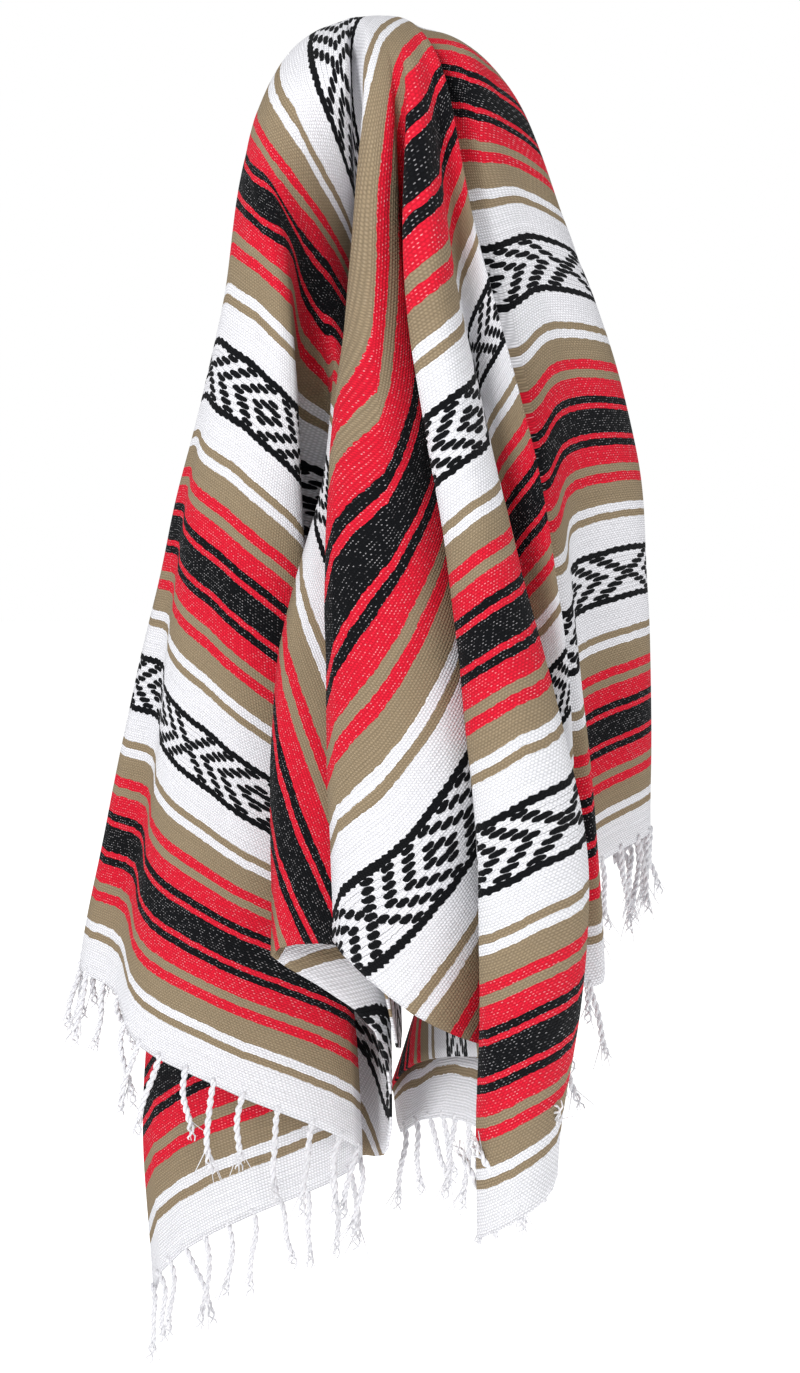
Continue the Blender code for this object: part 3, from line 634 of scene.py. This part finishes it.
class Nodes:
    """Short calls that add nodes to one tree and join them up."""

    def __init__(self, tree):
        self.tree = tree

    def add(self, kind, settings=None, **inputs):
        """A new node, with its settings and its inputs by label."""
        node = self.tree.nodes.new(kind)
        for key, value in (settings or {}).items():
            setattr(node, key, value)
        self.set(node, **inputs)
        return node

    def set(self, node, **inputs):
        """Each input by its label, with _ for a space."""
        for key, value in inputs.items():
            self.join(value, node.inputs[key.replace("_", " ")])

    def join(self, value, socket):
        """A link where the value is a socket, and a fixed value otherwise."""
        if isinstance(value, bpy.types.NodeSocket):
            self.tree.links.new(value, socket)
        else:
            socket.default_value = value

    def maths(self, operation, *values):
        """One sum, product or other operation on sockets and numbers."""
        node = self.tree.nodes.new("ShaderNodeMath")
        node.operation = operation
        for value, socket in zip(values, node.inputs):
            self.join(value, socket)
        return node.outputs[0]

    def blend(self, factor, first, second, kind="MIX"):
        """The first colour at factor 0 and the second at 1."""
        node = self.tree.nodes.new("ShaderNodeMix")
        node.data_type = "RGBA"
        node.blend_type = kind
        self.join(factor, node.inputs["Factor"])
        for value, socket in ((first, node.inputs[6]), (second, node.inputs[7])):
            self.join((*value, 1.0) if isinstance(value, tuple) else value, socket)
        return node.outputs[2]

    def darkened(self, colour, brightness):
        """A colour times a brightness that changes over the surface."""
        grey = self.add("ShaderNodeCombineColor", Red=brightness, Green=brightness, Blue=brightness)
        return self.blend(1.0, colour, grey.outputs[0], "MULTIPLY")

    def step(self, value, low, high):
        """0 below low, 1 above high, soft between; the other way round where low is above high."""
        node = self.tree.nodes.new("ShaderNodeMapRange")
        node.interpolation_type = "SMOOTHSTEP"
        falling = low > high
        numbers = (high, low, 1.0, 0.0) if falling else (low, high, 0.0, 1.0)
        self.join(value, node.inputs["Value"])
        for number, key in zip(numbers, ("From Min", "From Max", "To Min", "To Max")):
            node.inputs[key].default_value = number
        return node.outputs["Result"]

    def noise(self, vector, scale, detail=1.0, stretch=(1.0, 1.0, 1.0)):
        """Soft noise over a place, finer the way that it is stretched."""
        mapped = self.add("ShaderNodeMapping", Vector=vector, Scale=stretch)
        made = self.add("ShaderNodeTexNoise", Vector=mapped.outputs[0], Scale=scale, Detail=detail)
        return made.outputs[0]

    def waver(self, place, size, stretch):
        """A small shift to and fro that changes over the cloth."""
        noise = self.noise(place, 1.0, 1.0, stretch)
        return self.maths("MULTIPLY", self.maths("SUBTRACT", noise, 0.5), size)


def node_group(name, inputs, outputs):
    """A new shader group: its nodes, what it is given and what it puts out."""
    tree = bpy.data.node_groups.new(name, "ShaderNodeTree")
    for direction, sockets in (("INPUT", inputs), ("OUTPUT", outputs)):
        for label, kind in sockets:
            tree.interface.new_socket(name=label, in_out=direction, socket_type="NodeSocket" + kind)
    return Nodes(tree), tree.nodes.new("NodeGroupInput").outputs, tree.nodes.new("NodeGroupOutput").inputs


def stripes_group():
    """The ground: the stripes of half a repeat, mirrored about the middle of each black one."""
    n, given, out = node_group("serape_stripes", FLAT_PLACE, [("Color", "Color")])
    ramp_at = n.maths("DIVIDE", n.maths("SUBTRACT", given["Along"], BLACK_CENTRE), STRIPE_REPEAT)
    ramp_at = n.maths("MULTIPLY", n.maths("PINGPONG", ramp_at, 0.5), 2.0)
    ramp = n.add("ShaderNodeValToRGB", Fac=ramp_at)
    ramp.color_ramp.interpolation = "CONSTANT"
    while len(ramp.color_ramp.elements) > 1:
        ramp.color_ramp.elements.remove(ramp.color_ramp.elements[-1])
    for number, (start, colour) in enumerate(STRIPES):
        stop = ramp.color_ramp.elements[0] if number == 0 else ramp.color_ramp.elements.new(start * 2)
        stop.position = start * 2
        stop.color = (*colour, 1.0)
    near_first = n.maths("LESS_THAN", given["Along"], END_BAND)
    near_last = n.maths("GREATER_THAN", given["Along"], BLANKET_LENGTH - END_BAND)
    ends = n.maths("MAXIMUM", near_first, near_last)
    n.join(n.blend(ends, ramp.outputs["Color"], STRIPE_WHITE), out["Color"])
    return n.tree


def motif_group():
    """The white band's pattern: rope borders, and rows of dashes that form crosses and dotted diamonds."""
    n, given, out = node_group("serape_motif", FLAT_PLACE, [("Black", "Float")])
    across = given["Across"]
    turn = n.maths("DIVIDE", n.maths("SUBTRACT", given["Along"], MOTIF_CENTRE), STRIPE_REPEAT)
    signed = n.maths("MULTIPLY", n.maths("SUBTRACT", n.maths("FRACT", n.maths("ADD", turn, 0.5)), 0.5),
                     STRIPE_REPEAT)
    inside = n.maths("ABSOLUTE", signed)

    rope_wave = n.maths("SINE", n.maths("MULTIPLY", n.maths("ADD", across, signed), 2 * math.pi / ROPE_TURN))
    from_rope = n.maths("ABSOLUTE", n.maths("SUBTRACT", inside, ROPE_AT))
    rope_edge = n.maths("MULTIPLY_ADD", rope_wave, ROPE_WAVE, from_rope)
    rope = n.step(rope_edge, ROPE_HALF + ROPE_SOFT, ROPE_HALF - ROPE_SOFT)

    row = n.maths("ADD", n.maths("DIVIDE", signed, PICK), 0.5)
    row_number = n.maths("FLOOR", row)
    in_row = n.maths("ABSOLUTE", n.maths("SUBTRACT", n.maths("SUBTRACT", row, row_number), 0.5))
    row_height = n.maths("ABSOLUTE", n.maths("MULTIPLY", row_number, PICK))
    from_cross = n.maths("PINGPONG", n.maths("SUBTRACT", across, FIRST_CROSS), CROSS_SPACING / 2)
    slanted = n.maths("SUBTRACT", from_cross, n.maths("DIVIDE", row_height, CHEVRON_RISE))
    nearest = n.maths("MULTIPLY", CHEVRON, n.maths("ROUND", n.maths("DIVIDE", slanted, CHEVRON)))
    to_dash = n.maths("ABSOLUTE", n.maths("DIVIDE", n.maths("SUBTRACT", slanted, nearest), DASH_HALF))
    lens = n.maths("ADD", n.maths("POWER", to_dash, DASH_ROUND),
                   n.maths("POWER", n.maths("DIVIDE", in_row, DASH_HALF_ROW), DASH_ROUND))
    dash = n.maths("MULTIPLY", n.step(lens, *DASH_EDGE), n.maths("GREATER_THAN", slanted, -CHEVRON / 2))

    thin_at = n.maths("FRACT", n.maths("ADD", n.maths("DIVIDE", across, THIN_SPACING),
                                       n.maths("MULTIPLY", row_number, 0.5)))
    thin = n.maths("MULTIPLY", n.step(in_row, *THIN_EDGE), n.maths("LESS_THAN", thin_at, THIN_LONG))
    picks = n.maths("MAXIMUM", dash, n.maths("MULTIPLY", thin, THIN_DARK))
    picks = n.maths("MULTIPLY", picks, n.maths("LESS_THAN", inside, MOTIF_HALF))
    off_ends = n.maths("MULTIPLY", n.maths("GREATER_THAN", given["Along"], END_BAND),
                       n.maths("LESS_THAN", given["Along"], BLANKET_LENGTH - END_BAND))
    n.join(n.maths("MULTIPLY", n.maths("MAXIMUM", rope, picks), off_ends), out["Black"])
    return n.tree


def weave_group():
    """The weave: warp ribs and weft rows as a height, and the specks of warp that show between the picks."""
    n, given, out = node_group("loom_weave", FLAT_PLACE, [("Height", "Float"), ("Specks", "Float")])
    rows = n.maths("DIVIDE", given["Along"], WEFT)
    row_number = n.maths("FLOOR", rows)
    shifted = n.maths("ADD", n.maths("DIVIDE", given["Across"], RIB),
                      n.maths("MULTIPLY", n.maths("MODULO", row_number, 2.0), 0.5))
    cell = n.maths("FLOOR", shifted)
    x = n.maths("SUBTRACT", n.maths("SUBTRACT", shifted, cell), 0.5)
    y = n.maths("SUBTRACT", n.maths("SUBTRACT", rows, row_number), 0.5)
    x_squared, y_squared = n.maths("MULTIPLY", x, x), n.maths("MULTIPLY", y, y)
    far = n.maths("SQRT", n.maths("ADD", x_squared, y_squared))
    n.join(n.step(far, *PICK_EDGE), out["Height"])
    key = n.add("ShaderNodeCombineXYZ", X=cell, Y=row_number)
    chance = n.add("ShaderNodeTexWhiteNoise", {"noise_dimensions": "2D"}, Vector=key.outputs[0])
    edge = n.maths("SQRT", n.maths("ADD", n.maths("MULTIPLY", x_squared, SPECK_WIDE),
                                   n.maths("MULTIPLY", y_squared, SPECK_FLAT)))
    speck = n.maths("MULTIPLY", n.step(edge, *SPECK_EDGE), n.step(chance.outputs["Value"], *SPECK_CHANCE))
    n.join(speck, out["Specks"])
    return n.tree


def new_material(name):
    """A new material, short calls for its nodes, and its shader."""
    material = bpy.data.materials.new(name)
    material.use_nodes = True
    return material, Nodes(material.node_tree), material.node_tree.nodes["Principled BSDF"]


def blanket_material():
    """Stripes, motif and weave, all placed by where they are on the flat cloth."""
    material, n, shader = new_material("striped_weave")
    place = n.add("ShaderNodeUVMap", {"uv_map": "flat_place"}).outputs[0]
    place = n.add("ShaderNodeMapping", Vector=place, Scale=(BLANKET_WIDTH, BLANKET_LENGTH, 1.0)).outputs[0]
    axes = n.add("ShaderNodeSeparateXYZ", Vector=place).outputs
    across, along = axes["X"], axes["Y"]
    shift = n.maths("ADD", n.waver(place, *WAVER_SMALL), n.waver(place, *WAVER_LARGE))
    wavering = n.maths("ADD", along, shift)
    stripes = n.add("ShaderNodeGroup", {"node_tree": stripes_group()}, Across=across, Along=wavering)
    motif = n.add("ShaderNodeGroup", {"node_tree": motif_group()}, Across=across, Along=wavering)
    weave = n.add("ShaderNodeGroup", {"node_tree": weave_group()}, Across=across, Along=along)
    height = weave.outputs["Height"]
    streaks = n.noise(place, 1.0, 2.0, STREAKS)
    fibres = n.noise(place, 1.0, 2.0, FIBRES)

    colour = n.blend(motif.outputs["Black"], stripes.outputs["Color"], STRIPE_BLACK)
    fibre_shade = n.maths("MULTIPLY_ADD", fibres, FIBRE_SHADE, DARKEST_FIBRE)
    colour = n.darkened(colour, n.maths("MULTIPLY_ADD", streaks, STREAK_SHADE, fibre_shade))
    # painted shade in the weave's valleys and a little painted light on its tops, from the weave's height
    colour = n.darkened(colour, n.maths("MULTIPLY_ADD", height, PAINTED_SHADE_RISE, VALLEY_PAINTED_SHADE))
    green = n.add("ShaderNodeSeparateColor", Color=stripes.outputs["Color"]).outputs[1]
    on_dark = n.maths("MULTIPLY", weave.outputs["Specks"], n.step(green, *DARK_STRIPE))
    colour = n.blend(n.maths("MULTIPLY", on_dark, SPECK_SHARE), colour, SPECK)

    rough = n.maths("ADD", n.maths("MULTIPLY", fibres, FIBRE_ROUGH), LEAST_ROUGH)
    bump = n.add("ShaderNodeBump", Strength=0.55, Distance=0.0012,
                 Height=n.maths("ADD", height, n.maths("MULTIPLY", fibres, FIBRE_HEIGHT)))
    n.set(shader, Base_Color=colour, Roughness=rough, Normal=bump.outputs[0],
          Sheen_Weight=0.03, Sheen_Roughness=0.6, Specular_IOR_Level=0.08)
    return material


def yarn_material():
    """White twisted yarn, with painted shade between its fibres."""
    material, n, shader = new_material("fringe_yarn")
    place = n.add("ShaderNodeTexCoord").outputs["Object"]
    fibres = n.noise(place, YARN_FIBRES, 2.0, YARN_STRETCH)
    # painted shade between the fibres, white on them
    colour = n.blend(n.step(fibres, *YARN_EDGE), YARN_SHADE, YARN_WHITE)
    rough = n.maths("MULTIPLY_ADD", fibres, FIBRE_ROUGH, LEAST_ROUGH)
    bump = n.add("ShaderNodeBump", Strength=0.5, Distance=0.0006, Height=fibres)
    n.set(shader, Base_Color=colour, Roughness=rough, Normal=bump.outputs[0],
          Sheen_Weight=0.2, Specular_IOR_Level=0.25)
    return material


# ---- building the object ----

blanket = make_blanket()
blanket.data.materials.append(blanket_material())
random = np.random.default_rng(7)
yarn = yarn_material()
fringes = []
for name, end in (("first_fringe", -1), ("second_fringe", 1)):
    made = make_fringe(name, end, random)
    made.data.materials.append(yarn)
    fringes.append(made)
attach(blanket, "root")
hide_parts("left_stretch", "front_stretch", "right_stretch", "back_stretch")
for made, node in zip(fringes, ("first_end_fringe", "second_end_fringe")):
    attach(made, "root")
    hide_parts(node)

# ---- floor, light and camera ----

FLOOR_LEVEL = -1.42
FLOOR_HALF = 12.0
FLOOR_WHITE = (0.92, 0.92, 0.92, 1.0)
FLOOR_GLOW = 0.65                               # brings the floor up to the white of the backdrop
FLOOR_ROUGH = 0.9
WHITE = (1.0, 1.0, 1.0, 1.0)
AMBIENT = 0.40
Lamp = namedtuple("Lamp", "name place target size power")
LAMPS = [Lamp(*row) for row in (
    ("key_light", (-1.3, -2.4, 0.9), (0.0, 0.0, -0.5), 0.8, 58.0),
    ("fill_light", (2.0, -1.8, -0.1), (0.0, 0.0, -0.6), 1.6, 16.0),
    ("back_light", (0.4, 2.4, 0.8), (0.0, 0.0, -0.5), 1.6, 20.0),
)]
CAMERA_PLACE = (0.014, -1.35, -0.45)
SENSOR = 36.0                                   # millimetres, upright
VIEW_HEIGHT = 1373                              # in pixels, as the next two are
FOCAL_LENGTH = 1458
LEVEL_LINE = 516                                # from the top of the view to the camera's own level


def stage_floor():
    """A wide pale floor under the blanket."""
    mesh = bpy.data.meshes.new("floor")
    corners = ((-1, -1), (1, -1), (1, 1), (-1, 1))
    mesh.from_pydata([(x * FLOOR_HALF, y * FLOOR_HALF, FLOOR_LEVEL) for x, y in corners], [], [(0, 1, 2, 3)])
    floor = placed("floor", mesh)
    material, n, shader = new_material("pale_floor")
    n.set(shader, Base_Color=FLOOR_WHITE, Roughness=FLOOR_ROUGH, Emission_Color=WHITE,
          Emission_Strength=FLOOR_GLOW)
    mesh.materials.append(material)


def area_light(lamp):
    """A square light that faces its target."""
    light = bpy.data.lights.new(lamp.name, "AREA")
    light.size = lamp.size
    light.energy = lamp.power
    made = placed(lamp.name, light)
    made.location = lamp.place
    x, y, z = np.array(lamp.target) - np.array(lamp.place)
    made.rotation_euler = (math.atan2(math.hypot(x, y), -z), 0.0, math.atan2(-x, y))


def backdrop():
    """White all round as the camera sees it, and a weaker white as the light that it gives."""
    world = bpy.context.scene.world or bpy.data.worlds.new("studio")
    bpy.context.scene.world = world
    world.use_nodes = True
    n = Nodes(world.node_tree)
    lit = world.node_tree.nodes["Background"]
    n.set(lit, Color=WHITE, Strength=AMBIENT)
    seen = n.add("ShaderNodeBackground", Color=WHITE)
    path = n.add("ShaderNodeLightPath")
    choose = n.add("ShaderNodeMixShader", Fac=path.outputs["Is Camera Ray"])
    n.join(lit.outputs[0], choose.inputs[1])
    n.join(seen.outputs[0], choose.inputs[2])
    n.set(world.node_tree.nodes["World Output"], Surface=choose.outputs[0])


def level_camera():
    """The camera looks level, with its view shifted down to take in the whole blanket."""
    camera = bpy.data.cameras.new("camera")
    camera.sensor_fit = "VERTICAL"
    camera.sensor_height = SENSOR
    camera.lens = FOCAL_LENGTH / VIEW_HEIGHT * SENSOR
    camera.shift_y = (LEVEL_LINE - VIEW_HEIGHT / 2) / VIEW_HEIGHT
    made = placed("camera", camera)
    made.location = CAMERA_PLACE
    made.rotation_euler = (math.radians(90), 0.0, 0.0)
    bpy.context.scene.camera = made


stage_floor()
backdrop()
bpy.context.scene.view_settings.view_transform = "Standard"
for lamp in LAMPS:
    area_light(lamp)
level_camera()
